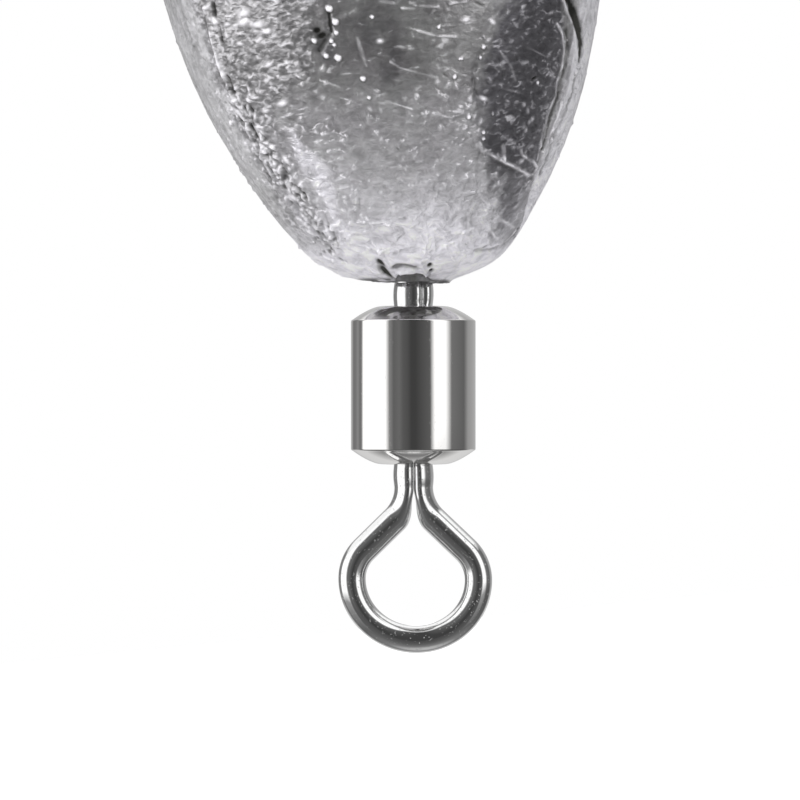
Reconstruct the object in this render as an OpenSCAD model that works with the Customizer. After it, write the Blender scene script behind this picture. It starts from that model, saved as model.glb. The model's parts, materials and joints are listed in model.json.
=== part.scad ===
// Olive fishing sinker: a cast lead body with a rolling swivel cast into each end.
// The line ties to the upper eye, and the lead hangs below it along Z.
// The origin is the centre of the upper eye's loop.

/* [Lead] */
// Largest diameter of the lead
lead_d = 16.2; // [13:0.1:24]
// Length of the lead from end to end
lead_l = 33; // [26:0.5:50]
// Diameter of the lead's blunt ends, before their edge is broken
lead_end_d = 3.5; // [2.8:0.1:6]
// Size of the broken edge round each blunt end
lead_end_edge = 0.2; // [0.1:0.05:0.5]

/* [Mould flash] */
// Height of the flash lines above the lead
flash_h = 0.14; // [0.05:0.01:0.3]
// Width of the flash lines at the middle of the lead
flash_w = 0.3; // [0.15:0.05:0.8]
// Angle from the mould's parting plane to each flash line
flash_angle = 32; // [15:1:60]
// Turn of the mould's parting plane about the lead
mould_turn = 6; // [-20:1:20]

/* [Swivel barrel] */
// Outside diameter of a barrel
barrel_d = 4.2; // [3.8:0.1:6]
// Length of a barrel's straight side
barrel_side_l = 4.33; // [3.9:0.01:6]
// Rise of the spun cap from the straight side to its flat crown
cap_rise = 0.51; // [0.4:0.01:0.6]
// Radius of the cap's curve between the side and the crown
cap_r = 3.4; // [2.9:0.1:4]
// Thickness of the barrel's side
barrel_wall = 0.45; // [0.3:0.05:0.6]
// Thickness of the spun caps
cap_wall = 0.45; // [0.3:0.05:0.6]
// Length of shank that shows between the lead and a barrel
stem_l = 0.8; // [0.4:0.02:2]
// Lean of the lower swivel, as it lay in the mould
swivel_lean = 5.6; // [0:0.1:8]

/* [Swivel eyes] */
// Diameter of the eye's wire
wire_d = 0.92; // [0.7:0.01:1.1]
// Half of the loop's width, to the middle of the wire
loop_r = 2.13; // [1.9:0.01:3]
// Depth of the loop from its widest place to its far end, to the middle of the wire
loop_depth = 2.05; // [1.8:0.01:3]
// Radius of the bends at the loop's widest place, to the middle of the wire
shoulder_r = 1.38; // [0.9:0.01:1.6]
// Radius of the bends where the two legs part, to the middle of the wire
neck_r = 1.54; // [1:0.01:2]
// Angle of the loop's straight flanks from the swivel's axis
flank_angle = 46; // [35:1:50]
// Straight length of shank from the barrel to where the legs part
neck_l = 0.75; // [0.3:0.01:2]
// Gap between the two half-round legs
leg_gap = 0.06; // [0.03:0.01:0.12]
// Length of the upset head on the shank
head_l = 1.45; // [1:0.05:1.7]

/* [Clearances] */
// Radial clearance of the shank in its hole
shank_clearance = 0.05; // [0.02:0.01:0.1]
// Clearance between a head and the inside of its cap
head_clearance = 0.05; // [0.02:0.01:0.1]
// Radial gap between a head and the barrel's side
head_side_gap = 0.2; // [0.1:0.05:0.3]

/* [Hidden] */
$fn = 96;
overrun = wire_d;

// Steps along each half of the lead's outline
lead_steps = 16;
lead_r = lead_d / 2;
lead_half_l = lead_l / 2;
lead_end_r = lead_end_d / 2;
// Half length of the full ellipse that the blunt ends cut short
ellipse_half_l = lead_half_l / sqrt(1 - pow(lead_end_r / lead_r, 2));
// The ellipse runs to the broken edge of each blunt end
outline_half_l = lead_half_l - lead_end_edge;
flash_sweep = flash_w / lead_r * 180 / PI;

barrel_r = barrel_d / 2;
cavity_r = barrel_r - barrel_wall;
// The shank is the wire folded in two and pressed round, so it has twice the wire's area
wire_r = wire_d / 2;
shank_r = wire_r * sqrt(2);
hole_r = shank_r + shank_clearance;
head_r = cavity_r - head_side_gap;
// The cap's curve is part of a sphere that meets the straight side at the barrel's radius
cap_centre = barrel_side_l / 2 - sqrt(pow(cap_r, 2) - pow(barrel_r, 2));
barrel_half_l = barrel_side_l / 2 + cap_rise;
// The head follows the inside of the cap
head_inset = cap_wall + head_clearance;
head_edge = cap_centre + sqrt(pow(cap_r - head_inset, 2) - pow(head_r, 2));
head_start = head_edge - head_l;

// The eye's bends, measured from the middle of the barrel along the swivel's axis
leg_x = shank_r - wire_r;
neck_start = barrel_half_l + neck_l;
flank_x = leg_x + neck_r * (1 - cos(flank_angle));
flank_z = neck_start + neck_r * sin(flank_angle);
shoulder_x = loop_r - shoulder_r;
flank_l = (shoulder_x + shoulder_r * cos(flank_angle) - flank_x) / sin(flank_angle);
loop_z = flank_z + flank_l * cos(flank_angle) + shoulder_r * sin(flank_angle);

// The bent wire is a tube with this many sides, and these steps along its bends
wire_sides = 16;
neck_steps = 8;
shoulder_steps = 5;
loop_steps = 10;
// The bent wire starts this far inside the legs of the shank, and this much thinner than they are
leg_overlap = wire_r;
leg_inset = leg_gap / 3;
// Each station of the wire holds its place along X and Z, its direction from the swivel's axis,
// and how far its section has gone from half round to round
leg_station = [[leg_x, neck_start - leg_overlap, 0, 0]];
neck_stations = [for (i = [0:neck_steps])
    let (share = i / neck_steps, turn = flank_angle * share)
        concat(bend_place(leg_x + neck_r, neck_start, -neck_r, turn), [turn, smooth(share)])];
shoulder_stations = [for (i = [0:shoulder_steps - 1])
    let (turn = flank_angle * (1 - i / shoulder_steps))
        concat(bend_place(shoulder_x, loop_z, shoulder_r, turn), [turn, 1])];
loop_stations = [for (i = [0:loop_steps])
    let (a = -90 * i / loop_steps)
        [loop_r * cos(a), loop_z - loop_depth * sin(a), atan2(loop_r * sin(a), loop_depth * cos(a)), 1]];
side_stations = concat(leg_station, neck_stations, shoulder_stations, loop_stations);
last_station = len(side_stations) - 1;
stations = concat(side_stations, [for (i = [last_station - 1:-1:0])
    let (s = side_stations[i]) [-s[0], s[1], 180 - s[2], s[3]]]);

// Places along the sinker
barrel_offset = stem_l + barrel_half_l;
lead_top_z = -loop_z - barrel_offset;
lead_mid_z = lead_top_z - lead_half_l;
lead_bottom_z = lead_top_z - lead_l;

// Radius of the lead at a height above or below its middle
function lead_radius(z) = lead_r * sqrt(1 - pow(z / ellipse_half_l, 2));

// Height of an outline point, closer together towards the ends
function outline_z(i) = outline_half_l * sin(90 * i / lead_steps);

// A place on a bend whose middle is at x, z, where the wire runs at an angle from the swivel's axis
function bend_place(x, z, r, turn) = [x + r * cos(turn), z - r * sin(turn)];

// Eases a share from 0 to 1
function smooth(share) = share * share * (3 - 2 * share);

// A point of the wire's section, outward from the loop and along Y
function half_round(a) = [max((shank_r - leg_inset) * cos(a), leg_gap / 2 + leg_inset) - leg_x,
    (shank_r - leg_inset) * sin(a)];
function full_round(a) = [wire_r * cos(a), wire_r * sin(a)];
function section_point(a, share) = half_round(a) * (1 - share) + full_round(a) * share;

// Half of the lead's outline, standing proud by a given height
module lead_outline(proud) {
    side = [for (i = [-lead_steps:lead_steps])
        [lead_radius(outline_z(i)) + proud, outline_z(i)]];
    end_r = lead_end_r - lead_end_edge + proud;
    polygon(concat([[0, -lead_half_l], [end_r, -lead_half_l]], side,
        [[end_r, lead_half_l], [0, lead_half_l]]));
}

// One raised line of flash that runs along the lead
module flash_line(angle) {
    rotate([0, 0, angle - flash_sweep / 2])
        rotate_extrude(angle = flash_sweep) lead_outline(flash_h);
}

// Moves a swivel from the middle of its barrel to the top of the sinker
module at_upper_barrel() {
    translate([0, 0, -loop_z]) children();
}

// Moves a swivel from the middle of its barrel to the leaning place below the lead
module at_lower_barrel() {
    translate([0, 0, lead_bottom_z])
        rotate([0, swivel_lean, 0])
            rotate([180, 0, 0])
                translate([0, 0, barrel_offset]) children();
}

// Turns an eye to point into the lead, in the mould's parting plane
module turned_to_lead(turn) {
    rotate([0, 0, turn]) rotate([180, 0, 0]) children();
}

// The bent wire from one leg round the loop to the other
module bent_wire() {
    points = [for (s = stations, k = [0:wire_sides - 1])
        let (p = section_point(360 * k / wire_sides, s[3]))
            [s[0] + p[0] * cos(s[2]), p[1], s[1] - p[0] * sin(s[2])]];
    rings = len(stations);
    sides = [for (i = [0:rings - 2], k = [0:wire_sides - 1])
        let (next = (k + 1) % wire_sides, here = i * wire_sides, ahead = here + wire_sides)
            [here + k, ahead + k, ahead + next, here + next]];
    start = [for (k = [0:wire_sides - 1]) k];
    end = [for (k = [wire_sides - 1:-1:0]) (rings - 1) * wire_sides + k];
    polyhedron(points, concat(sides, [start, end]));
}

// The shank with its upset head, which bears on the inside of the cap
module headed_shank() {
    translate([0, 0, head_edge])
        cylinder(h = neck_start - head_edge, r = shank_r);
    intersection() {
        translate([0, 0, head_start])
            cylinder(h = barrel_half_l - head_inset - head_start, r = head_r);
        translate([0, 0, cap_centre]) sphere(cap_r - head_inset);
    }
}

// The eye with a solid shank, which is also the space that it fills in the lead
module eye_form() {
    headed_shank();
    bent_wire();
}

// The eye with the gap between its two half-round legs
module swivel_eye() {
    gap_start = head_start - overrun;
    difference() {
        headed_shank();
        translate([-leg_gap / 2, -barrel_r, gap_start])
            cube([leg_gap, barrel_d, neck_start + overrun - gap_start]);
    }
    bent_wire();
}

// A cylinder with a curved and flattened cap at each end, this far inside the barrel's surface
module capped_cylinder(r, inset) {
    intersection() {
        cylinder(h = 2 * (barrel_half_l - inset), r = r, center = true);
        translate([0, 0, cap_centre]) sphere(cap_r - inset);
        translate([0, 0, -cap_centre]) sphere(cap_r - inset);
    }
}

// The hollow barrel, with a shank hole in each spun cap
module swivel_barrel() {
    difference() {
        capped_cylinder(barrel_r, 0);
        capped_cylinder(cavity_r, cap_wall);
        cylinder(h = 2 * barrel_half_l + overrun, r = hole_r, center = true);
    }
}

module lead_body() color("darkgray") {
    difference() {
        translate([0, 0, lead_mid_z]) {
            rotate_extrude() lead_outline(0);
            for (side = [0, 180], edge = [-flash_angle, flash_angle])
                flash_line(mould_turn + side + edge);
        }
        at_upper_barrel() turned_to_lead(mould_turn) eye_form();
        at_lower_barrel() turned_to_lead(-mould_turn) eye_form();
    }
}

module upper_barrel() color("silver") {
    at_upper_barrel() swivel_barrel();
}

module lower_barrel() color("silver") {
    at_lower_barrel() swivel_barrel();
}

module upper_eye() color("gainsboro") {
    at_upper_barrel() swivel_eye();
}

module lower_eye() color("gainsboro") {
    at_lower_barrel() swivel_eye();
}

module upper_anchor_eye() color("lightgray") {
    at_upper_barrel() turned_to_lead(mould_turn) swivel_eye();
}

module lower_anchor_eye() color("lightgray") {
    at_lower_barrel() turned_to_lead(-mould_turn) swivel_eye();
}

lead_body();
upper_barrel();
lower_barrel();
upper_eye();
lower_eye();
upper_anchor_eye();
lower_anchor_eye();
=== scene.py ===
import json
from math import acos, asin, atan2, cos, degrees, hypot, pi, radians, sin, sqrt

import bpy
import numpy as np
from mathutils import Matrix, Vector


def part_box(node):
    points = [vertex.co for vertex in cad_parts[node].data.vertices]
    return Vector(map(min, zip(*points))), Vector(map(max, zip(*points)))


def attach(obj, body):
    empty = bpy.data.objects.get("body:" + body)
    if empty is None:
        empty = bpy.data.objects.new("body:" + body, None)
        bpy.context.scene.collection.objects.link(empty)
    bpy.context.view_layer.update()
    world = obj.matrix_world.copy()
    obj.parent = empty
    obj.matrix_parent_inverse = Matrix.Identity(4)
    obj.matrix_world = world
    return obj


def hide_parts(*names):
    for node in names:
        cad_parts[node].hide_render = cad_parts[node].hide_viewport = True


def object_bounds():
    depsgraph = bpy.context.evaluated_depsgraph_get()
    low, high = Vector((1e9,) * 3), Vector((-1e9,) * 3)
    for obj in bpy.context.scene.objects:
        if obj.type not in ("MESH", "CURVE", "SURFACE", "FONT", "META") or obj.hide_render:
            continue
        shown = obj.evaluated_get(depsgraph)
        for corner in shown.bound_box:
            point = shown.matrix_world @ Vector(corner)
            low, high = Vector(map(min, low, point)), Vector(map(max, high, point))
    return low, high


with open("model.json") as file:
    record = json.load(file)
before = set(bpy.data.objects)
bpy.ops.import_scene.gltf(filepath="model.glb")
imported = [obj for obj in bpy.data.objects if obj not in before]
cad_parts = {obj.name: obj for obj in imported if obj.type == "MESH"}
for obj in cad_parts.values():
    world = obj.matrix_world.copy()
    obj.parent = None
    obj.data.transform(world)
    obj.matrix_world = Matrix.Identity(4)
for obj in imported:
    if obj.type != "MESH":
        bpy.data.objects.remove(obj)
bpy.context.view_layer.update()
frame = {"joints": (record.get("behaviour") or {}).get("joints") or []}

MM = 0.001

# Photograph
PHOTO_PX = 800
PIXEL_MM = 0.0337  # one pixel of the photograph at the swivel
BARREL_PX = (413.3, 385.2)  # middle of the lower barrel
LENS = 200
SENSOR = 36
CLIP = (0.001, 20)

# Lead
LEAD_D = 16.2
LEAD_L = 33.0
LEAD_END_D = 3.5
LEAD_END_EDGE = 0.2
MOULD_TURN = 6.0  # turn of each buried eye from the frame, in degrees

# Swivel barrel
BARREL_D = 4.2
BARREL_SIDE_L = 4.33
CAP_RISE = 0.51
CAP_R = 3.4
BARREL_WALL = 0.45
CAP_WALL = 0.45
CAP_EDGE_R = 0.07  # rounding where the cap meets the side
CAP_EDGE_DROP = 0.4  # drop of that rounding's middle, in its radius
CAP_FROM = 1.5  # start of the cap's curve above the rounding, in degrees
CAP_TO = 80.0  # its end, before that is added
CROWN_EDGE_R = 0.6  # rounding where the cap's curve meets its flat crown
LIP_R = 0.12  # rounding of the shank hole
LIP_GAP = 0.02

# Swivel eye
WIRE_D = 0.92
LOOP_R = 2.13
LOOP_DEPTH = 2.03
SHOULDER_R = 1.38
NECK_R = 1.54
FLANK_ANGLE = 46.0
NECK_L = 0.75
LEG_GAP = 0.012
LEG_EDGE_R = 0.2  # rounding of the legs' edges outside the barrel
HEAD_EDGE_R = 0.06  # rounding of the head's edges
HEAD_FILLET = 0.04  # hollow between the head and the shank
HEAD_FRONT = 0.05  # straight rim below the head's curved front
HEAD_RIM = [(0.0, 0.15), (0.04, 0.04), (0.12, 0.0)]  # back of the head: rise, and how far in
SHANK_SWELL = 0.03  # how much thicker the shank is outside the barrel
HAND_BEND = 0.1  # lean of the loop's far end
SHANK_TWIST = 28.0  # turn of a buried eye's shank from its loop, in degrees
TWIST_L = 1.5  # length inside the lead over which the legs turn
HEAD_L = 1.45
SHANK_CLEARANCE = 0.05
HEAD_CLEARANCE = 0.05
HEAD_SIDE_GAP = 0.2

# Fineness of the meshes
BARREL_SEGMENTS = 192
CAP_STEPS = 40
WIRE_SIDES = 56
CROWN_STEPS = 5
SHANK_STEPS = 15
NECK_STEPS = 28
FLANK_STEPS = 12
SHOULDER_STEPS = 20
LOOP_STEPS = 40
SHARP_ANGLE = 50
LEAD_COLUMNS = 800
FRONT_BUNCHING = 0.45  # how much closer the lead's columns are at the front
ROW_PLACES = (0, 1, 11, 14, LEAD_L - 1, LEAD_L)
ROW_PITCHES = (0.015, 0.036, 0.036, 0.09, 0.09, 0.02)
END_RINGS = 20
END_RING_R = 0.04  # smallest ring of the flat ends
EDGE_RINGS = 8

# Sizes that follow from these
lead_r = LEAD_D / 2
half_lead = LEAD_L / 2
ellipse_half = half_lead / sqrt(1 - (LEAD_END_D / LEAD_D) ** 2)
end_r = LEAD_END_D / 2 - LEAD_END_EDGE
barrel_r = BARREL_D / 2
cavity_r = barrel_r - BARREL_WALL
wire_r = WIRE_D / 2
shank_r = wire_r * sqrt(2)
hole_r = shank_r + SHANK_CLEARANCE
head_r = cavity_r - HEAD_SIDE_GAP
cap_centre = BARREL_SIDE_L / 2 - sqrt(CAP_R ** 2 - barrel_r ** 2)
barrel_half = BARREL_SIDE_L / 2 + CAP_RISE
head_inset = CAP_WALL + HEAD_CLEARANCE
head_top = barrel_half - head_inset
head_edge = cap_centre + sqrt((CAP_R - head_inset) ** 2 - head_r ** 2)
leg_x = shank_r - wire_r
flank_turn = radians(FLANK_ANGLE)
neck_start = barrel_half + NECK_L
flank_x = leg_x + NECK_R * (1 - cos(flank_turn))
flank_z = neck_start + NECK_R * sin(flank_turn)
shoulder_x = LOOP_R - SHOULDER_R
flank_l = (shoulder_x + SHOULDER_R * cos(flank_turn) - flank_x) / sin(flank_turn)
loop_z = flank_z + flank_l * cos(flank_turn) + SHOULDER_R * sin(flank_turn)
view_distance = PHOTO_PX * PIXEL_MM * LENS / SENSOR

# Places that come from the frame
joints = {j["name"]: j for j in frame["joints"]}
lower_axis = Vector(joints["lower_barrel_spin"]["axis"]).normalized()
lower_middle = Vector(joints["lower_barrel_spin"]["pos_m"])
upper_middle = Vector(joints["upper_barrel_spin"]["pos_m"])
lead_low, lead_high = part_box("lead_body")
lead_middle = Vector((0, 0, (lead_low.z + lead_high.z) / 2))
lean = atan2(lower_axis.x, lower_axis.z)


# Shares and humps

def smooth(share):
    """A share from 0 to 1, eased in and out."""
    share = np.clip(share, 0, 1)
    return share * share * (3 - 2 * share)


def ease(value, low, high):
    """How far a value has gone from low to high, eased in and out."""
    return smooth((value - low) / (high - low))


def hump(value):
    """1 at zero, fading to nothing on both sides."""
    return np.exp(-value ** 2)


def wrapped(angle):
    """An angle in degrees, brought to between -180 and 180."""
    return (angle + 180) % 360 - 180


# Meshes

def add_object(name, data):
    obj = bpy.data.objects.new(name, data)
    bpy.context.collection.objects.link(obj)
    return obj


def make_object(name, points, faces, material, place=None, sharp_angle=None):
    """A smooth mesh object from points in millimetres, moved to its place."""
    pts = np.asarray(points, dtype=float) * MM
    if place is not None:
        m = np.array(place)
        pts = pts @ m[:3, :3].T + m[:3, 3]
    mesh = bpy.data.meshes.new(name)
    mesh.from_pydata(pts.tolist(), [], faces)
    mesh.shade_smooth()
    if sharp_angle is not None:
        mesh.set_sharp_from_angle(angle=radians(sharp_angle))
    mesh.materials.append(material)
    return add_object(name, mesh)


def tube_faces(rings, sides, closed_along=False):
    """Quads of a tube of rings, each with as many points as sides."""
    faces = []
    for i in range(rings if closed_along else rings - 1):
        here, ahead = i * sides, ((i + 1) % rings) * sides
        for k in range(sides):
            n = (k + 1) % sides
            faces.append((here + k, ahead + k, ahead + n, here + n))
    return faces


def tube_ends(rings, sides):
    """The faces that close both ends of such a tube."""
    last = (rings - 1) * sides
    return [list(range(sides)), list(range(last + sides - 1, last - 1, -1))]


def lathe(profile, segments):
    """Turns a closed profile of (radius, height) points round the Z axis."""
    points = []
    for s in range(segments):
        a = 2 * pi * s / segments
        points += [(r * cos(a), r * sin(a), z) for r, z in profile]
    faces = tube_faces(segments, len(profile), closed_along=True)
    return points, [(a, d, c, b) for a, b, c, d in faces]


def arc(centre_r, centre_z, radius, start, stop, steps):
    """Points on an arc in the lathe's plane, by angle from the radius in degrees."""
    angles = [radians(start + (stop - start) * i / steps) for i in range(steps + 1)]
    return [(centre_r + radius * cos(a), centre_z + radius * sin(a)) for a in angles]


# Swivel shapes, in the frame of a barrel with its middle at the origin

def crown_point(angle):
    """A point on the cap's curve, eased into its flat crown."""
    a = radians(angle)
    r, z = CAP_R * cos(a), cap_centre + CAP_R * sin(a)
    over = z - barrel_half
    return r, barrel_half + 0.5 * (over - sqrt(over ** 2 + (0.1 * CROWN_EDGE_R) ** 2))


def barrel_mesh():
    """The hollow barrel, with curved caps and rolled shank holes."""
    side_top = BARREL_SIDE_L / 2
    edge_angle = degrees(acos(barrel_r / CAP_R))
    outer = arc(barrel_r - CAP_EDGE_R, side_top - CAP_EDGE_R * CAP_EDGE_DROP, CAP_EDGE_R, 0, edge_angle, 6)
    cap = [crown_point(edge_angle + CAP_FROM + (CAP_TO - edge_angle) * i / CAP_STEPS)
           for i in range(CAP_STEPS + 1)]
    cap = [(r, z) for r, z in cap if r > hole_r + LIP_R + LIP_GAP]
    lip = arc(hole_r + LIP_R, cap[-1][1] - LIP_R, LIP_R, 90, 180, 8)
    inner = CAP_R - CAP_WALL
    flat_r = sqrt(inner ** 2 - (barrel_half - CAP_WALL - cap_centre) ** 2)
    flat_angle = degrees(acos(flat_r / inner))
    corner_angle = degrees(acos(cavity_r / inner))
    inside = [(hole_r, barrel_half - CAP_WALL)] + arc(0, cap_centre, inner, flat_angle, corner_angle, 10)
    top = outer + cap + lip + inside
    return lathe(top + [(r, -z) for r, z in reversed(top)], BARREL_SEGMENTS)


def half_round(radius, edge, sides):
    """Evenly spaced points of a half-round section with rounded edges."""
    flat = LEG_GAP / 2
    core = radius - edge
    corner = acos((flat + edge) / core)
    turns = np.linspace(0, corner, 60)
    bend = np.linspace(corner, pi, 40)
    x = np.concatenate([core * np.cos(turns) + edge * np.cos(turns),
                        core * cos(corner) + edge * np.cos(bend), [flat]])
    y = np.concatenate([radius * np.sin(turns), core * sin(corner) + edge * np.sin(bend), [0]])
    along = np.concatenate([[0], np.cumsum(np.hypot(np.diff(x), np.diff(y)))])
    want = np.linspace(0, along[-1], sides // 2 + 1)
    x, y = np.interp(want, along, x), np.interp(want, along, y)
    return np.concatenate([x, x[-2:0:-1]]), np.concatenate([y, -y[-2:0:-1]])


def head_stations():
    """Height and radius of the upset head, from its back to the shank."""
    back = head_edge - HEAD_L
    dome_r = CAP_R - head_inset
    stations = [(back, head_r * 0.5)] + [(back + rise, head_r - inset) for rise, inset in HEAD_RIM]
    stations.append((head_edge - HEAD_FRONT, head_r))
    edge_turn = acos(head_r / dome_r)
    flat_turn = acos(sqrt(dome_r ** 2 - (head_top - cap_centre) ** 2) / dome_r)
    for i in range(CROWN_STEPS + 1):
        a = edge_turn + (flat_turn - edge_turn) * i / CROWN_STEPS
        stations.append((cap_centre + dome_r * sin(a), dome_r * cos(a)))
    return stations + [(head_top, shank_r + HEAD_FILLET)]


def eye_stations():
    """Stations of one side of the eye: x, z, direction from the axis, leg radius, edge rounding,
    and from 0 to 1 how round the section is."""
    straight = [(z, r, HEAD_EDGE_R) for z, r in head_stations()]
    start = head_top + HEAD_FILLET
    for i in range(SHANK_STEPS + 1):
        z = start + (neck_start - start) * i / SHANK_STEPS
        # The legs' edges grow rounder as they leave the barrel
        edge = HEAD_EDGE_R + (LEG_EDGE_R - HEAD_EDGE_R) * smooth((z - barrel_half + 0.2) / 0.3)
        share = max(0.0, (z - barrel_half) / NECK_L)
        swell = SHANK_SWELL * sin(pi * min(share, 1.0))
        straight.append((z, shank_r + swell, edge))
    bent = []
    for i in range(1, NECK_STEPS + 1):
        turn = radians(FLANK_ANGLE * i / NECK_STEPS)
        bent.append((leg_x + NECK_R - NECK_R * cos(turn), neck_start + NECK_R * sin(turn), turn,
                     smooth((i / NECK_STEPS - 0.25) / 0.75)))
    for i in range(1, FLANK_STEPS):
        along = flank_l * i / FLANK_STEPS
        bent.append((flank_x + along * sin(flank_turn), flank_z + along * cos(flank_turn),
                     flank_turn, 1.0))
    for i in range(SHOULDER_STEPS):
        turn = radians(FLANK_ANGLE * (1 - i / SHOULDER_STEPS))
        bent.append((shoulder_x + SHOULDER_R * cos(turn), loop_z - SHOULDER_R * sin(turn), turn, 1.0))
    for i in range(LOOP_STEPS + 1):
        a = radians(-90 * i / LOOP_STEPS)
        turn = atan2(LOOP_R * sin(a), LOOP_DEPTH * cos(a))
        bent.append((LOOP_R * cos(a), loop_z - LOOP_DEPTH * sin(a), turn, 1.0))
    return ([(leg_x, z, 0.0, r, edge, 0.0) for z, r, edge in straight]
            + [(x, z, turn, shank_r, LEG_EDGE_R, share) for x, z, turn, share in bent])


def eye_mesh(twist=0.0):
    """One bent wire: half a head, a half-round leg, the loop, and back."""
    half = eye_stations()
    stations = half + [(-x, z, pi - turn, *rest) for x, z, turn, *rest in half[-2::-1]]
    round_turns = 2 * pi * np.arange(WIRE_SIDES) / WIRE_SIDES
    points = []
    for x, z, turn, r, edge, share in stations:
        u, v = half_round(r, edge, WIRE_SIDES)
        u = (u - leg_x) * (1 - share) + wire_r * np.cos(round_turns) * share
        v = v * (1 - share) + wire_r * np.sin(round_turns) * share
        up = z - u * sin(turn)
        bend = HAND_BEND * np.maximum(0, (up - barrel_half) / (loop_z + LOOP_DEPTH - barrel_half))
        points.append(np.stack([x + u * cos(turn) + bend, v, up], -1))
    x, y, z = np.concatenate(points).T
    turn = radians(twist) * (1 - ease(z, neck_start, neck_start + TWIST_L))
    points = np.stack([x * np.cos(turn) - y * np.sin(turn), x * np.sin(turn) + y * np.cos(turn), z], -1)
    rings = len(stations)
    return points, tube_faces(rings, WIRE_SIDES) + tube_ends(rings, WIRE_SIDES)


# Materials

class Nodes:
    """Short ways to add the nodes that the materials and the studio are made of."""

    def __init__(self, tree):
        self.tree = tree

    def new(self, kind, inputs=(), **settings):
        """Adds a node. Its inputs are set to values or linked to other nodes' outputs."""
        n = self.tree.nodes.new(kind)
        for key, value in settings.items():
            setattr(n, key, value)
        for key, value in dict(inputs).items():
            if isinstance(value, bpy.types.NodeSocket):
                self.tree.links.new(value, n.inputs[key])
            else:
                n.inputs[key].default_value = value
        return n

    def calc(self, operation, *values):
        return self.new("ShaderNodeMath", enumerate(values), operation=operation).outputs[0]

    def add(self, a, b):
        return self.calc("ADD", a, b)

    def times(self, a, b):
        return self.calc("MULTIPLY", a, b)

    def most(self, a, b):
        return self.calc("MAXIMUM", a, b)

    def map(self, value, low, high, to_low=0.0, to_high=1.0):
        """Takes a value from between low and high to between to_low and to_high."""
        ends = {"From Min": low, "From Max": high, "To Min": to_low, "To Max": to_high}
        return self.new("ShaderNodeMapRange", {"Value": value, **ends}).outputs["Result"]

    def mix(self, share, a, b):
        """The colour a where share is 0 and b where it is 1."""
        return self.new("ShaderNodeMix", {"Factor": share, 6: a, 7: b}, data_type="RGBA").outputs[2]

    def scaled(self, colour, factor):
        """A colour times a factor that varies over the surface."""
        return self.new("ShaderNodeMix", {"Factor": 1.0, 6: colour, 7: factor}, data_type="RGBA",
                        blend_type="MULTIPLY", clamp_result=True).outputs[2]

    def ramp(self, value, places):
        """A grey ramp through (share, level) places."""
        n = self.new("ShaderNodeValToRGB", {0: value})
        stops = n.color_ramp.elements
        while len(stops) < len(places):
            stops.new(0.5)
        for stop, (share, level) in zip(stops, places):
            stop.position = share
            stop.color = (level, level, level, 1)
        return n.outputs[0]

    def noise(self, coord, scale, detail, rough, distortion=0.0):
        inputs = {"Scale": scale, "Detail": detail, "Roughness": rough, "Distortion": distortion}
        return self.new("ShaderNodeTexNoise", {"Vector": coord, **inputs}).outputs["Fac"]

    def object_coord(self, along=None):
        """Places on the piece, drawn out or pressed together along the lead."""
        coord = self.new("ShaderNodeTexCoord").outputs["Object"]
        if along is None:
            return coord
        return self.new("ShaderNodeMapping", {"Vector": coord, "Scale": (1, 1, along)}).outputs[0]

    def mask(self, name):
        """A mark that the mesh carries."""
        return self.new("ShaderNodeAttribute", attribute_name=name).outputs["Fac"]

    def bumps(self, *layers):
        """One normal from layers of height and depth in millimetres."""
        normal = None
        for height, depth in layers:
            n = self.new("ShaderNodeBump", {"Height": height, "Distance": depth * MM, "Strength": 1.0})
            if normal is not None:
                self.tree.links.new(normal, n.inputs["Normal"])
            normal = n.outputs["Normal"]
        return normal


def new_material(name):
    """A material, its nodes and its shader."""
    mat = bpy.data.materials.new(name)
    mat.use_nodes = True
    return mat, Nodes(mat.node_tree), mat.node_tree.nodes["Principled BSDF"]


def plated(name, tint, rough, ripple, pits):
    """Bright nickel plate: fine roughness changes, a slight ripple and tiny pits."""
    mat, t, bsdf = new_material(name)
    coord = t.object_coord()
    bsdf.inputs["Base Color"].default_value = (*tint, 1)
    bsdf.inputs["Metallic"].default_value = 1.0
    cloud = t.noise(coord, 900, 4.0, 0.6)
    t.tree.links.new(t.map(cloud, 0.35, 0.7, *rough), bsdf.inputs["Roughness"])
    waves = t.noise(coord, 1400, 2.0, 0.4)
    specks = t.map(t.noise(coord, 14000, 2.0, 0.5), 0.66, 0.74, 0.0, -1.0)
    t.tree.links.new(t.bumps((waves, ripple), (specks, pits)), bsdf.inputs["Normal"])
    return mat


# Colours of the lead
FROSTY_DARK = (0.635, 0.62, 0.635, 1)
FROSTY_PALE = (0.80, 0.80, 0.80, 1)
DULL_GREY = (0.60, 0.59, 0.605, 1)
# Darker skin at the right, deepened as a painted dark reflection
FILM_AND_REFLECTION_GREY = (0.325, 0.317, 0.345, 1)
# Pale bloom that is also painted light: the lower end painted paler where light falls on it, and the rims
# as a painted reflection
BLOOM_AND_LIGHT_WHITE = (0.93, 0.912, 0.98, 1)
RIM_LIGHT_WHITE = (0.82, 0.815, 0.84, 1)
# Painted highlights and glints on crests, ridges, beads, patches and creases
HIGHLIGHT_WHITE = (0.97, 0.955, 1.0, 1)
# Painted shade in grooves, cuts, pits, dents, the recess round the wire, the ends' edges and below beads
SHADE_BLACK = (0.07, 0.07, 0.065, 1)

# Depths of its bumps
GRAIN_DEPTH = 0.006
SKIN_DEPTH = 0.05
FOIL_DEPTH = 0.18


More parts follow.
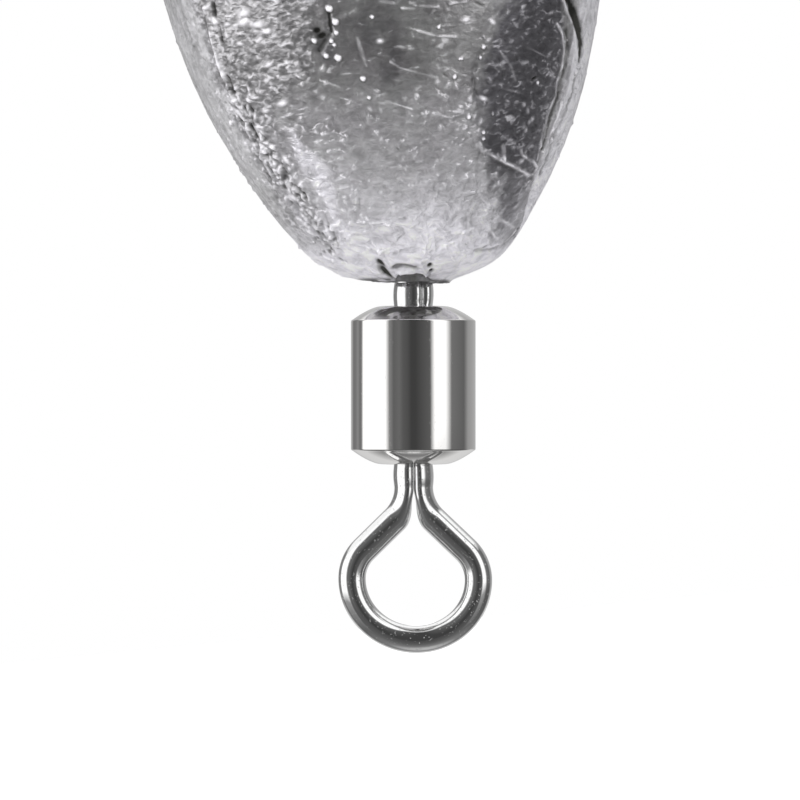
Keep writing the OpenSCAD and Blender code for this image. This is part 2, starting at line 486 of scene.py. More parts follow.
def cast_lead():
    """Bare cast lead under a frosty bloom, with flecks and films that the mesh marks, and painted
    highlights, painted shade and painted reflections.
    """
    mat, t, bsdf = new_material("cast_lead")
    names = ("flecked", "dull", "film_and_reflection", "bloom_and_light", "bright", "soot", "rim", "foil")
    flecked, dull, film_and_reflection, bloom_and_light, bright, soot, rim, foil = (t.mask(name) for name in names)
    coord, crosswise = t.object_coord(), t.object_coord(along=1.8)
    fine = t.noise(crosswise, 3300, 1.8, 0.5, 0.7)
    broad = t.noise(crosswise, 1500, 3.0, 0.6, 0.4)
    cloud = t.noise(coord, 600, 4.0, 0.62)
    grain = t.noise(coord, 9000, 3.0, 0.6)
    streaks = t.noise(t.object_coord(along=0.2), 3000, 3.0, 0.6)
    crinkle = t.noise(t.object_coord(along=1.4), 1900, 3.0, 0.55, 0.8)
    tone = t.add(t.times(fine, 0.64), t.times(broad, 0.36))

    # Frosty metal, dull where it is leathery, dark where it is filmed and painted as a dark reflection,
    # violet white in the bloom and its painted light on the lower end and rims
    colour = t.mix(t.map(cloud, 0.38, 0.62), FROSTY_DARK, FROSTY_PALE)
    colour = t.mix(dull, colour, DULL_GREY)
    colour = t.mix(film_and_reflection, colour, FILM_AND_REFLECTION_GREY)
    colour = t.mix(bloom_and_light, colour, t.mix(rim, BLOOM_AND_LIGHT_WHITE, RIM_LIGHT_WHITE))

    # Mottling, strong in the leathery and filmed skins and slight in the bloom, and streaked rims
    swing = t.times(t.calc("MULTIPLY_ADD", flecked, 0.24, 0.14), t.map(bloom_and_light, 0.0, 1.0, 1.0, 0.3))
    wave = t.times(t.map(tone, 0.38, 0.62, -1.0, 1.0), swing)
    colour = t.scaled(colour, t.add(wave, 1.0))
    along = t.times(rim, t.map(streaks, 0.38, 0.62, 0.22, -0.1))
    colour = t.scaled(colour, t.calc("SUBTRACT", 1.0, along))

    # Foil-like facets, each painted lighter or darker as a painted reflection, with painted highlights
    # along the creases between them
    facet = t.times(t.map(crinkle, 0.34, 0.66, -0.24, 0.16), foil)
    colour = t.scaled(colour, t.add(facet, 1.0))
    crease = t.calc("ABSOLUTE", t.calc("SUBTRACT", crinkle, 0.5))
    crease = t.times(t.map(crease, 0.0, 0.02, 1.0, 0.0), foil)

    # Painted glints on the crests, denser where the skin is leathery and in clusters, then the marks'
    # painted highlights and painted shade
    lift = t.add(t.times(flecked, 0.11), t.map(cloud, 0.3, 0.7, -0.03, 0.03))
    crest = t.map(t.add(tone, lift), 0.60, 0.76)
    white = t.most(t.most(bright, t.times(crest, 0.6)), t.times(crease, 0.55))
    colour = t.mix(white, colour, HIGHLIGHT_WHITE)
    colour = t.mix(soot, colour, SHADE_BLACK)

    frosty = t.most(t.times(bloom_and_light, 0.62), t.times(white, 0.8))
    rough = t.add(t.map(cloud, 0.3, 0.7, 0.28, 0.42), t.times(soot, 0.4))
    skin = t.times(tone, t.calc("MULTIPLY_ADD", flecked, 0.45, 0.22))
    normal = t.bumps((grain, GRAIN_DEPTH), (skin, SKIN_DEPTH), (t.times(crinkle, foil), FOIL_DEPTH))
    for socket, name in ((colour, "Base Color"), (t.map(frosty, 0.0, 1.0, 0.95, 0.0), "Metallic"),
                         (rough, "Roughness"), (t.map(soot, 0.0, 1.0, 0.5, 0.05), "Specular IOR Level"),
                         (normal, "Normal")):
        t.tree.links.new(socket, bsdf.inputs[name])
    return mat


# Studio

# The walls, softboxes and flags of the studio by azimuth from the camera's side, with +90 at +X:
# where each begins and ends and its level there. Between two of them the light fades.
STUDIO_STRIPS = [
    (-180, -158, 0.55, 0.40),  # left wall
    (-146, -134, 0.17, 0.19),  # left flag, outer part
    (-126, -124, 0.25, 0.25),  # left flag, bright fold
    (-119, -112, 0.17, 0.18),  # left flag, inner part
    (-106, -53, 1.15, 1.15),  # left softbox
    (-45, -41, 0.23, 0.19),  # camera side, left edge
    (-37, -26, 0.12, 0.145),  # camera side, left
    (-19, -10, 0.10, 0.08),  # camera side
    (-4, 4, 0.052, 0.052),  # camera
    (12, 31, 0.07, 0.11),  # camera side, right
    (40, 62, 1.15, 1.15),  # right softbox
    (75, 108, 0.17, 0.12),  # right flag
    (122, 160, 0.31, 0.43),  # right wall
    (170, 180, 0.55, 0.55),  # back wall
]

# Levels below the horizon in front of and behind the sinker, from straight down to level
BELOW_FRONT = [(0.0, 0.5), (0.03, 0.4), (0.1, 0.2), (0.3, 0.12), (0.55, 0.09), (1.0, 0.07)]
BELOW_BEHIND = [(0.0, 0.75), (0.2, 0.7), (0.6, 0.7), (1.0, 0.6)]

# Where one part gives way to the next, by the parts of a direction: towards the camera, or up
BEHIND_TO_FRONT = (-0.75, -0.45)
STRIPS_SEEN_BELOW = (-0.3, -0.7, 0.2, 0.0)
SIDES_TO_BELOW = (-0.13, -0.28)
SIDES_TO_CEILING = (0.45, 0.6)
CEILING_TO_SPOT = (0.93, 0.98)
SPOT_GREY = (0.4, 0.4, 0.4, 1)
WHITE = (1.0, 1.0, 1.0, 1)

FLOOR_GREY = (0.9, 0.9, 0.9, 1)
FLOOR_GLOW = 0.6
FLOOR_HALF = 2000.0
FLOOR_DROP = 100

KEY_DIRECTION = Vector((-0.25, -0.9, 0.3))
KEY_DISTANCE = 0.4
KEY_SIZE = 0.25
KEY_POWER = 1.36


def make_world():
    """A studio by direction: side strips, a dark camera side below, and white from above."""
    world = bpy.data.worlds.new("studio")
    bpy.context.scene.world = world
    world.use_nodes = True
    world.node_tree.nodes.clear()
    t = Nodes(world.node_tree)
    direction = t.new("ShaderNodeTexCoord").outputs["Generated"]
    x, y, z = t.new("ShaderNodeSeparateXYZ", {0: direction}).outputs
    towards = t.times(y, -1.0)
    azimuth = t.calc("MULTIPLY_ADD", t.calc("ARCTAN2", x, towards), 1 / (2 * pi), 0.5)
    places = []
    for start, end, first, last in STUDIO_STRIPS:
        places += [(start / 360 + 0.5, first), (end / 360 + 0.5, last)]
    strips = t.ramp(azimuth, places)
    down = t.map(z, -1.0, 0.0)
    below = t.mix(t.map(towards, *BEHIND_TO_FRONT), t.ramp(down, BELOW_BEHIND), t.ramp(down, BELOW_FRONT))
    below = t.mix(t.map(z, *STRIPS_SEEN_BELOW), below, strips)
    ceiling = t.calc("SUBTRACT", z, t.most(towards, 0.0))
    colour = t.mix(t.map(z, *SIDES_TO_BELOW), strips, below)
    colour = t.mix(t.map(ceiling, *SIDES_TO_CEILING), colour, WHITE)
    colour = t.mix(t.map(z, *CEILING_TO_SPOT), colour, SPOT_GREY)
    colour = t.mix(t.new("ShaderNodeLightPath").outputs["Is Camera Ray"], colour, WHITE)
    back = t.new("ShaderNodeBackground", {"Color": colour})
    t.new("ShaderNodeOutputWorld", {0: back.outputs[0]})


def make_floor():
    """A plain pale floor, well below the hanging sinker."""
    mat, t, bsdf = new_material("floor")
    t.tree.nodes.remove(bsdf)
    diffuse = t.new("ShaderNodeBsdfDiffuse", {"Color": FLOOR_GREY})
    seen = t.new("ShaderNodeLightPath").outputs["Is Camera Ray"]
    glow = t.new("ShaderNodeEmission", {"Strength": t.times(seen, FLOOR_GLOW)})
    both = t.new("ShaderNodeAddShader", {0: diffuse.outputs[0], 1: glow.outputs[0]})
    t.tree.links.new(both.outputs[0], t.tree.nodes["Material Output"].inputs[0])
    size, depth = FLOOR_HALF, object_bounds()[0].z / MM - FLOOR_DROP
    points = [(-size, -size, depth), (size, -size, depth), (size, size, depth), (-size, size, depth)]
    floor = make_object("floor", points, [(0, 1, 2, 3)], mat)
    floor.visible_glossy = False


def make_key_light():
    """A large soft light above the camera, kept out of the shiny metal's reflections."""
    data = bpy.data.lights.new("key_softbox", "AREA")
    data.shape = "DISK"
    data.size = KEY_SIZE
    data.energy = KEY_POWER
    key = add_object("key_softbox", data)
    key.location = lead_middle + KEY_DIRECTION.normalized() * KEY_DISTANCE
    key.rotation_euler = KEY_DIRECTION.to_track_quat("Z", "Y").to_euler()
    key.visible_glossy = False
    key.visible_camera = False


def make_camera():
    """The photograph's camera: level, far off, and rolled so that the lower swivel is upright."""
    up = lower_axis
    right = Vector((up.z, 0, -up.x))
    back = Vector((0, -1, 0))
    middle = PHOTO_PX / 2
    target = (lower_middle + right * (middle - BARREL_PX[0]) * PIXEL_MM * MM
              - up * (middle - BARREL_PX[1]) * PIXEL_MM * MM)
    data = bpy.data.cameras.new("camera")
    data.lens = LENS
    data.sensor_width = SENSOR
    data.clip_start, data.clip_end = CLIP
    cam = add_object("camera", data)
    place = target + back * (PHOTO_PX * PIXEL_MM * MM * LENS / SENSOR)
    cam.matrix_world = Matrix(((right.x, up.x, back.x, place.x), (right.y, up.y, back.y, place.y),
                               (right.z, up.z, back.z, place.z), (0, 0, 0, 1)))
    bpy.context.scene.camera = cam


# Lead, as a displaced grid of azimuth from the front (towards +X) and height above the lower end

SQUARE_END = (0.3, 2.5)  # heights where the lower end stops being square to the swivel
NEAREST_R = 0.1  # smallest radius at which a pixel's place is looked for


def lead_radius(z):
    """The plain olive's radius at a height above its middle."""
    return lead_r * np.sqrt(np.maximum(1 - (z / ellipse_half) ** 2, 0))


def skin_at(height):
    """The radius at a height above the lower end, and the skin's length for a height of 1."""
    z = height - half_lead
    r = float(lead_radius(z))
    return r, hypot(1, z * lead_r ** 2 / (ellipse_half ** 2 * r))


def square_cut(x, height):
    """How far the lower end is tilted, so that it is square to the leaning swivel."""
    return -sin(lean) * x * (1 - ease(height, *SQUARE_END))


def on_lead(px, py):
    """The azimuth and height on the lead that a place in the photograph shows."""
    middle = PHOTO_PX / 2
    across, up = (px - middle) * PIXEL_MM, (middle - py) * PIXEL_MM
    aim_across, aim_up = (middle - BARREL_PX[0]) * PIXEL_MM, (BARREL_PX[1] - middle) * PIXEL_MM
    nearer = 0.0
    for _ in range(8):
        size = 1 - nearer / view_distance
        u, v = aim_across + across * size, aim_up + up * size
        x = lower_middle.x / MM + cos(lean) * u + sin(lean) * v
        z = (lower_middle.z - lead_middle.z) / MM - sin(lean) * u + cos(lean) * v
        z = z - square_cut(x, z + half_lead)
        r = max(float(lead_radius(z)), NEAREST_R)
        azimuth = asin(min(max(x / r, -1.0), 1.0))
        nearer = r * cos(azimuth)
    return degrees(azimuth), max(z + half_lead, 0.0)


LATTICE = 1024  # the noise repeats after this many cells
LAST_CELL = LATTICE - 1
SEED_STEP = 17.31  # how far apart the noises of two seeds are, in cells
PERM = np.random.default_rng(7).permutation(LATTICE)
PERM = np.concatenate([PERM, PERM, PERM[:2]])


def lattice_noise(points, scale, seed):
    """Smooth noise from -1 to 1 of points divided by scale, a size in each direction."""
    q = points / np.asarray(scale) + seed * SEED_STEP
    cell = np.floor(q)
    f = q - cell
    fx, fy, fz = (f * f * f * (f * (f * 6 - 15) + 10)).T
    ix, iy, iz = (cell.astype(np.int32) & LAST_CELL).T
    planes = []
    for dx in (0, 1):
        px = PERM[ix + dx]
        rows = []
        for dy in (0, 1):
            py = PERM[px + iy + dy & LAST_CELL]
            near, far = PERM[py + iz & LAST_CELL], PERM[py + iz + 1 & LAST_CELL]
            rows.append(near + (far - near) * fz)
        planes.append(rows[0] + (rows[1] - rows[0]) * fy)
    return (planes[0] + (planes[1] - planes[0]) * fx) / (LAST_CELL / 2) - 1


def layered_noise(points, scale, seed, layers, fade):
    """Layers of noise, each half the size of the one before it and weaker by fade."""
    total, size, weight = 0.0, np.asarray(scale, dtype=float), 1.0
    for i in range(layers):
        total = total + weight * lattice_noise(points, size, seed + i)
        size, weight = size / 2, weight * fade
    return total


def along_only(size):
    """A noise scale that varies along the lead and hardly round it."""
    return (900, 900, size)


# Where the photograph stops showing the lead, by azimuth and by height
UNSEEN_TURN = (76, 92)
UNSEEN_HEIGHT = (9.5, 12)

LEAST_SEEN = 0.3  # foreshortening that strokes near the rims make up for
SHADE_SPREAD = 1.6  # how far a mark's painted shade spreads beyond it
BEAD_RISE = 0.8  # a bead's height, in its radius
BEAD_SHADE = 0.55


class LeadGrid:
    """The plain olive's points, and helpers that shape strokes and spots on its skin."""

    def __init__(self):
        # Columns are closer together at the front, and rows towards the lower end
        t = np.linspace(0, 2 * pi, LEAD_COLUMNS, endpoint=False)
        self.theta = t - FRONT_BUNCHING * np.sin(t)
        at = np.linspace(0, LEAD_L, 2000)
        pitch = np.interp(at, ROW_PLACES, ROW_PITCHES)
        row = np.concatenate([[0], np.cumsum(np.diff(at) / pitch[1:])])
        side = np.interp(np.arange(int(row[-1])), row, at)
        side = side * (LEAD_L - 2 * LEAD_END_EDGE) / side[-1] - half_lead + LEAD_END_EDGE
        ring = np.linspace(END_RING_R, end_r, END_RINGS)
        edge = np.linspace(0, 1, EDGE_RINGS + 2)[1:-1]
        edge_z = LEAD_END_EDGE * edge - half_lead
        edge_r = end_r + (lead_radius(side[0]) - end_r) * edge
        flat = np.full(END_RINGS, half_lead)
        self.z = np.concatenate([-flat, edge_z, side, -edge_z[::-1], flat])
        self.r = np.concatenate([ring, edge_r, lead_radius(side), edge_r[::-1], ring[::-1]])
        self.a, self.zz = np.meshgrid(np.degrees(self.theta), self.z)
        self.a = wrapped(self.a)
        self.rr = np.repeat(self.r[:, None], LEAD_COLUMNS, axis=1)
        self.height = self.zz + half_lead
        self.from_end = np.minimum(self.height, LEAD_L - self.height)
        # Which way is outwards
        slope = self.zz * lead_r ** 2 / (ellipse_half ** 2 * np.maximum(self.rr, 0.3))
        length = np.hypot(1, slope)
        self.on_end = np.abs(self.zz) >= half_lead - 1e-6
        self.out_r = np.where(self.on_end, 0, 1 / length)
        self.out_z = np.where(self.on_end, np.sign(self.zz), slope / length)
        rad = np.radians(self.a)
        self.points = np.stack([self.rr * np.sin(rad), -self.rr * np.cos(rad), self.zz], -1)
        self.flat_points = self.points.reshape(-1, 3)
        self.skin, self.swell, self.bright, self.soot = np.zeros((4, *self.rr.shape))
        self.row_height, self.col_azimuth = self.height[:, 0], self.a[0]
        self.everywhere = np.ix_(range(len(self.row_height)), range(LEAD_COLUMNS))
        # Noises that break up edges and strokes, from the finest to the broadest
        self.wobble = self.noise(0.25, 71, 2)
        self.uneven = self.noise(0.5, 33, 2)
        self.ragged = self.noise(0.9, 81, 4, 0.7)
        self.drift = self.noise(1.2, 35, 3, 0.6)
        self.unseen = np.maximum(ease(np.abs(self.a), *UNSEEN_TURN),
                                 ease(self.height + self.drift, *UNSEEN_HEIGHT))

    def noise(self, scale, seed, layers, fade=0.5):
        return layered_noise(self.flat_points, scale, seed, layers, fade).reshape(self.rr.shape)

    def joined(self, shown, hidden):
        """One skin from its shares in the photograph and outside it."""
        return shown * (1 - self.unseen) + self.unseen * hidden

    def edge(self, places):
        """The azimuth of an edge read from the photograph, at every point's height."""
        return np.interp(self.height, *edge_of(places))

    def window(self, places, reach):
        """Rows and columns of the grid within reach of some places on the skin."""
        azimuths, heights = [a for a, _ in places], [h for _, h in places]
        low, high = min(heights), max(heights)
        r = max(min(float(lead_radius(h - half_lead)) for h in (low, high)) - 0.4, 1.0)
        rows = np.flatnonzero((self.row_height > low - reach) & (self.row_height < high + reach))
        middle, half = (min(azimuths) + max(azimuths)) / 2, (max(azimuths) - min(azimuths)) / 2
        cols = np.flatnonzero(np.abs(wrapped(self.col_azimuth - middle)) < half + degrees(reach / r))
        return np.ix_(rows, cols)

    def apart(self, azimuth, height, w):
        """Distances round and along the skin from one place, within a window."""
        r, slope = skin_at(height)
        return np.radians(wrapped(self.a[w] - azimuth)) * r, (self.height[w] - height) * slope

    def add(self, w, shape, rise, bright=0.0, soot=0.0):
        """Raises a window by a shape, and marks it with a painted highlight or painted shade."""
        self.skin[w] += rise * shape
        self.bright[w] = np.maximum(self.bright[w], bright * shape)
        self.soot[w] = np.maximum(self.soot[w], soot * np.minimum(SHADE_SPREAD * shape, 1))

    def stroke(self, places, width, rise, bright=0.0, soot=0.0, wobble=0.0):
        """A raised or cut line through places."""
        seen = max(cos(radians(sum(a for a, _ in places) / len(places))), LEAST_SEEN)
        w = self.window(places, (3.5 * width + 0.1) / seen)
        best = np.full(self.a[w].shape, 99.0)
        for (a0, h0), (a1, h1) in zip(places, places[1:]):
            x, y = self.apart(a0, h0, w)
            r, slope = skin_at((h0 + h1) / 2)
            dx, dy = radians(a1 - a0) * r * seen, (h1 - h0) * slope
            x = x * seen
            t = np.clip((x * dx + y * dy) / max(dx * dx + dy * dy, 1e-6), 0, 1)
            best = np.minimum(best, np.hypot(x - t * dx, y - t * dy))
        if wobble:
            best = best + wobble * self.wobble[w]
        fade = 0.35 + 0.65 * ease(self.uneven[w] + 0.5 * self.wobble[w], -0.6, 0.3) if soot < 1 else 1.0
        self.add(w, hump(best / width) * fade, rise, bright, soot)

    def fleck(self, azimuth, height, length, width, tilt, rise, bright=0.0, soot=0.0):
        """A small crosswise blob, turned by tilt in degrees."""
        w = self.window([(azimuth, height)], 2.2 * max(length, width))
        x, y = self.apart(azimuth, height, w)
        c, s = cos(radians(tilt)), sin(radians(tilt))
        u, v = x * c + y * s, y * c - x * s
        self.add(w, hump(np.hypot(u / length, v / width)), rise, bright, soot)

    def blots(self, places, rise, **looks):
        """Flecks whose places and sizes are given in pixels."""
        for px, py, length, width, tilt in places:
            self.fleck(*on_lead(px, py), length * PIXEL_MM, width * PIXEL_MM, tilt, rise, **looks)

    def bead(self, azimuth, height, size, bright=1.0):
        """A round bead of lead with a painted highlight, and a painted shadow in a crescent below it."""
        w = self.window([(azimuth, height)], 2.5 * size + 0.05)
        x, y = self.apart(azimuth, height, w)
        gap = np.hypot(x, y) / size
        self.skin[w] += BEAD_RISE * size * np.sqrt(np.clip(1 - gap ** 2, 0, 1))
        self.bright[w] = np.maximum(self.bright[w], bright * (1 - ease(gap, 0.6, 1.2)))
        shade = ease(gap, 0.9, 1.2) * (1 - ease(gap, 1.2, 1.9)) * ease(-y / size, -0.6, 0.8)
        self.soot[w] = np.maximum(self.soot[w] * ease(gap, 0.8, 1.1), BEAD_SHADE * shade)

    def mesh(self):
        """The points moved by the skin's relief, the swells and the square lower end."""
        pts = self.points.copy()
        rad = np.radians(self.a)
        within = 0.4 + 0.6 * np.clip(self.from_end / LEAD_END_EDGE, 0, 1)
        within = within * np.where(self.on_end, self.rr / end_r, 1.0)
        out = self.skin * self.out_r + self.swell * within
        square = square_cut(pts[..., 0], self.height)
        pts[..., 0] += out * np.sin(rad)
        pts[..., 1] -= out * np.cos(rad)
        pts[..., 2] += self.skin * self.out_z + square
        return pts


def edge_of(places):
    """An edge read from the photograph, as heights in order and the azimuth at each."""
    found = sorted((h, a) for a, h in (on_lead(px, py) for px, py in places))
    return [h for h, _ in found], [a for _, a in found]


# Where the skins fade in and out, in degrees round the lead or millimetres above its lower end
LEFT_BARE = (18, 26)
RIGHT_BARE = (8, 20)
BARE_RIM = (56, 60)
LEFT_RIM = (-62, -56)
RIGHT_RIM = (58, 66)
LOWER_LEFT_BARE = (50, 58)
ALL_ENDS = (1.0, 4.5)
BAND_TOP = (4.3, 5.5)
BAND_W = 7
SEAM_W = 4
SEAM_TOP = (7, 9)
SEAM_FOOT = (0.6, 1.2)
PEBBLES_FOOT = (0.8, 2.0)
PEBBLES_TOP = (5.2, 6.8)

# How far the bloom and its painted light have gone at the front, by height
BLOOM_HEIGHTS = [0.9, 2.6, 3.85, 5.4, 7.0]
BLOOM_SHARES = [1.0, 0.5, 0.3, 0.2, 0.02]

# Edges of the skins in the photograph
LEATHER_LEFT_PX = [(176, 0), (195, 60), (222, 120), (267, 185), (330, 262)]
LEATHER_RIGHT_PX = [(312, 0), (303, 60), (290, 88), (281, 110), (282, 130), (297, 180), (322, 225),
                    (345, 262)]
FILM_LEFT_PX = [(500, 0), (485, 50), (478, 100), (481, 146), (480, 250)]
FILM_RIGHT_PX = [(563, 0), (565, 50), (556, 90), (546, 125), (538, 160), (532, 185), (525, 210), (516, 238)]
LOW_FILM_LEFT_PX = [(484, 160), (496, 180), (499, 205), (496, 225), (484, 245)]
FILM_FOOT_PX = [(481, 146), (492, 156), (513, 166), (529, 176)]
BAND_PX = [(285, 120), (300, 150), (325, 195), (350, 240)]
SEAM_PX = [(232, 93), (256, 138), (275, 170), (300, 200), (322, 235), (340, 258)]

# Places in the photograph painted darker, as a painted dark reflection and shade: place, half width, half
# height and how dark
DUSK_PX = [
    (365, 25, 25, 30, 0.5), (393, 45, 8, 50, 0.45), (389, 75, 14, 14, 0.5), (325, 45, 10, 18, 0.7),
    (324, 18, 7, 18, 0.7), (571, 45, 5, 20, 0.8), (568, 78, 6, 20, 0.75), (558, 113, 6, 22, 0.65),
    (549, 145, 5, 20, 0.5),
]


def leathery(g):
    """The pressed, leathery skin at the left of the photograph."""
    turned = g.a + 4 * g.drift
    leather = ease(turned - g.edge(LEATHER_LEFT_PX), -9, 3)
    leather = leather * (1 - ease(turned - g.edge(LEATHER_RIGHT_PX), -3, 5))
    leather = leather * ease(g.height + 0.5 * g.drift, 0.6, 1.6)
    return g.joined(leather, ease(g.noise(5.0, 31, 2), 0.0, 0.5))


def dulled(g, leather):
    """The leathery skin, and weaker dull skin on both sides of the middle."""
    h, a, seen = g.height, g.a, 1 - g.unseen
    beside = 0.35 * ease(a + 3 * g.drift, *RIGHT_BARE) * ease(h, 2.5, 5)
    beside = beside + 0.5 * ease(-a + 3 * g.drift, *LEFT_BARE) * ease(h, 4, 6)
    dull = np.maximum(leather, beside * seen * (1 - ease(np.abs(a), *BARE_RIM)))
    right = 0.35 * ease(a + 3 * g.drift, 10, 20) * seen * (1 - ease(a, *BARE_RIM)) * ease(h, 1.5, 3)
    return np.maximum(dull, right)


def darkened(g):
    """The dark film at the right, partly a painted dark reflection, paler below the vein, and places
    elsewhere painted darker as dark reflection and shade.
    """
    h, a, ragged = g.height, g.a, g.ragged
    film_and_reflection = ease(a + 3.5 * ragged - g.edge(FILM_LEFT_PX), -4, 4)
    film_and_reflection = film_and_reflection * (1 - ease(a + ragged - g.edge(FILM_RIGHT_PX), -1.5, 2))
    foot_heights, foot_azimuths = edge_of(FILM_FOOT_PX)
    foot = np.interp(a, foot_azimuths[::-1], foot_heights[::-1])
    above = ease(h + 0.05 * ragged - foot, -0.05, 0.12)
    below = 0.85 * ease(h + 0.2 * ragged, 0.9, 1.4) * ease(a + 4 * ragged - g.edge(LOW_FILM_LEFT_PX), -3, 5)
    film_and_reflection = film_and_reflection * np.maximum(above, below)
    for px, py, across, along, share in DUSK_PX:
        x, y = g.apart(*on_lead(px, py), g.everywhere)
        blot = np.exp(-(x / (across * PIXEL_MM)) ** 2 - (y / (along * PIXEL_MM)) ** 2)
        film_and_reflection = np.maximum(film_and_reflection, share * blot * ease(ragged, -0.8, 0.3))
    patches = ease(g.noise((3.0, 3.0, 4.5), 85, 3) + 0.4 * ragged, 0.2, 0.75)
    return film_and_reflection * (1 - g.unseen) + 0.8 * g.unseen * patches


def lightened(g, film_and_reflection, rims, ends):
    """The pale bloom with painted light: a band up the left, both rims, and all of the lower end, painted
    paler where the light falls there.
    """
    h, a, ragged = g.height, g.a, g.ragged
    left, right = rims
    band = hump((a + 3 * ragged - g.edge(BAND_PX)) / BAND_W)
    bloom_and_light = 0.87 * band * (1 - ease(h + 0.5 * ragged, *BAND_TOP))
    near_end = np.interp(h + 0.35 * ragged, BLOOM_HEIGHTS, BLOOM_SHARES)
    bloom_and_light = np.maximum(bloom_and_light, near_end * (1 - 0.45 * ease(-a, *LOWER_LEFT_BARE) * ease(h, 0.9, 1.5)))
    bloom_and_light = bloom_and_light * (1 - 0.85 * film_and_reflection)
    bloom_and_light = np.maximum(bloom_and_light, np.maximum(0.7 * left * ease(h, 2, 5), right * (1 - film_and_reflection)))
    patches = np.clip(0.45 + 0.4 * g.noise(2.6, 87, 3), 0, 1) * (1 - 0.6 * film_and_reflection)
    return g.joined(bloom_and_light, np.maximum(patches, ends))


def zones(g):
    """The share of each skin. Outside the photograph the same skins lie in patches."""
    h, a, ragged = g.height, g.a, g.ragged
    rim_left, rim_right = 1 - ease(a + 2 * ragged, *LEFT_RIM), ease(a + 1.5 * g.drift, *RIGHT_RIM)
    ends = 1 - ease(g.from_end + 0.4 * ragged, *ALL_ENDS)
    leather, film_and_reflection = leathery(g), darkened(g)
    dull = dulled(g, leather)
    bloom_and_light = lightened(g, film_and_reflection, (rim_left, rim_right), ends)
    leather = leather * (1 - 0.6 * ease(bloom_and_light, 0.6, 0.9))
    seam = hump((a + 2 * ragged - g.edge(SEAM_PX)) / SEAM_W)
    seam = 0.85 * seam * (1 - ease(h, *SEAM_TOP)) * ease(h, *SEAM_FOOT)
    leather, bloom_and_light = np.maximum(leather, seam), bloom_and_light * (1 - 0.7 * seam)
    rim = np.maximum(rim_left, 0.45 * rim_right) * (1 - ends)
    pebbled = ease(h, *PEBBLES_FOOT) * (1 - ease(h + g.drift, *PEBBLES_TOP))
    foil = np.clip(0.05 + 0.2 * pebbled + 1.2 * bloom_and_light - 0.5 * rim - 0.8 * film_and_reflection, 0, 1) * (1 - leather)
    flecked = np.maximum.reduce([leather, 0.5 * film_and_reflection, 0.3 * pebbled, 0.35 * rim_left, np.full_like(a, 0.2)])
    flecked = np.clip(flecked + 0.15 * g.drift, 0, 1)
    return {"leather": leather, "dull": dull, "film_and_reflection": film_and_reflection, "bloom_and_light": bloom_and_light, "rim": rim, "flecked": flecked,
            "pebbled": pebbled * (1 - g.unseen) * (1 - 0.8 * film_and_reflection), "foil": foil}


# Flash at the mould's seam: azimuth, and how far from the ends it begins
FLASH_LINES = [(-116.0, 0.8), (-55.0, 0.8), (64.0, 9.0), (128.0, 0.8)]
FLASH_RISE = 0.07
FLASH_W = 0.09
FLASH_CUT = 0.1
FLASH_CUT_W = 0.06
FLASH_CUT_X = 0.16

# The recess round the wire at the lower end
RECESS_HALF_W = 0.76
RECESS_H = 0.25
RECESS_DEPTH = 0.12

# Swells: azimuth, height, width round, length along, rise
LOWER_END_SWELLS = [
    (90, 2.0, 1.6, 1.2, 0.06),
    (90, 0.0, 2.8, 1.1, -0.85),
    (-90, 0.8, 1.8, 1.13, 0.28),
    (-90, 0.0, 1.6, 0.12, -0.55),
    (-90, 4.3, 4.0, 2.8, -0.16),
    (90, 4.6, 4.0, 2.8, 0.03),
]

# Raised veins and cut lines in the photograph
SEAM_GROOVE_PX = [(569, 0), (573, 10), (577, 20), (581, 32), (582, 45), (580, 62)]
RING_PX = [(475 + 15 * cos(i * pi / 8), 206 + 12 * sin(i * pi / 8)) for i in range(17)]
FAN_PX = [[(322 + 3 * i, 135 + 9 * i), (334 + 3 * i, 132 + 9 * i), (346 + 3 * i, 137 + 9 * i)]
          for i in range(9)]
